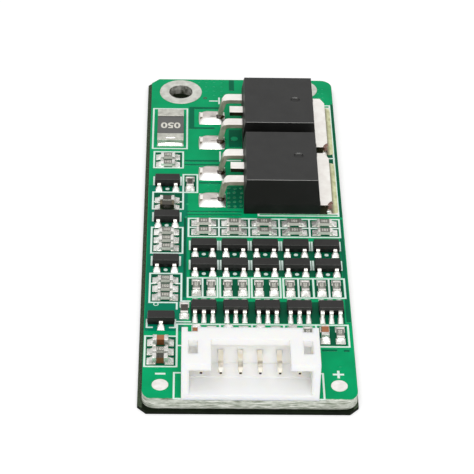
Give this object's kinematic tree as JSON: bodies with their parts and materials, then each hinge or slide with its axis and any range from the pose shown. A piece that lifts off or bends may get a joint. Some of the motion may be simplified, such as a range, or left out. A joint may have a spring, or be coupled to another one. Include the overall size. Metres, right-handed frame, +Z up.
{
  "type": "battery management board",
  "caption": "Battery management circuit board with a side-entry pin header, power transistors and small surface-mount parts over an insulating sheet.",
  "frame": {"origin": "centre of the insulating sheet's underside, which is the middle of the part's footprint", "axes": "+Z up from the sheet through the board, +Y along the board from the header to the power transistors, +X to the right with the header facing the viewer"},
  "size_m": [0.0226, 0.0592, 0.0064],
  "materials": {
    "solder_mask": "gloss solder mask over glass fibre laminate",
    "sheet": "dark varnished insulating paper",
    "tinned_land": "bright tin-lead finish on copper",
    "mosfet_mould": "fine matt moulding compound",
    "tinned_lead": "tinned copper",
    "shunt_coat": "dark grey overcoat on ceramic",
    "chip_terminal": "tinned metal ends",
    "header_nylon": "natural ivory nylon",
    "pin_metal": "tinned brass",
    "chip_mould": "matt moulding compound",
    "resistor_glaze": "dark glaze over white ceramic",
    "capacitor_clay": "bare brown ceramic",
    "capacitor_dark": "dark olive ceramic"
  },
  "bodies": {
    "root": {"circuit_board": "solder_mask", "insulating_sheet": "sheet", "power_ring_lands": "tinned_land", "battery_lands": "tinned_land", "mosfet_lands": "tinned_land", "chip_lands": "tinned_land", "rear_mosfet_body": "mosfet_mould", "rear_mosfet_drain": "tinned_lead", "rear_mosfet_gate_lead": "tinned_lead", "rear_mosfet_source_lead": "tinned_lead", "front_mosfet_body": "mosfet_mould", "front_mosfet_drain": "tinned_lead", "front_mosfet_gate_lead": "tinned_lead", "front_mosfet_source_lead": "tinned_lead", "shunt_body": "shunt_coat", "shunt_terminals": "chip_terminal", "header_housing": "header_nylon", "header_pins": "pin_metal", "monitor_1": "chip_mould", "monitor_2": "chip_mould", "monitor_3": "chip_mould", "monitor_4": "chip_mould", "monitor_5": "chip_mould", "monitor_leads_1": "tinned_lead", "monitor_leads_2": "tinned_lead", "monitor_leads_3": "tinned_lead", "monitor_leads_4": "tinned_lead", "monitor_leads_5": "tinned_lead", "upper_transistor_1": "chip_mould", "upper_transistor_2": "chip_mould", "upper_transistor_3": "chip_mould", "upper_transistor_4": "chip_mould", "upper_transistor_5": "chip_mould", "upper_transistor_leads": "tinned_lead", "lower_transistor_1": "chip_mould", "lower_transistor_2": "chip_mould", "lower_transistor_3": "chip_mould", "lower_transistor_4": "chip_mould", "lower_transistor_5": "chip_mould", "lower_transistor_leads": "tinned_lead", "control_transistor_1": "chip_mould", "control_transistor_2": "chip_mould", "control_transistor_3": "chip_mould", "control_transistor_4": "chip_mould", "control_transistor_leads": "tinned_lead", "bleed_resistors": "resistor_glaze", "bleed_resistor_terminals": "chip_terminal", "gate_resistors": "resistor_glaze", "gate_resistor_terminals": "chip_terminal", "control_resistors": "resistor_glaze", "control_resistor_terminals": "chip_terminal", "filter_resistors": "resistor_glaze", "filter_resistor_terminals": "chip_terminal", "filter_capacitors": "capacitor_clay", "filter_capacitor_terminals": "chip_terminal", "delay_capacitors": "capacitor_dark", "delay_capacitor_terminals": "chip_terminal"}
  },
  "joints": []
}
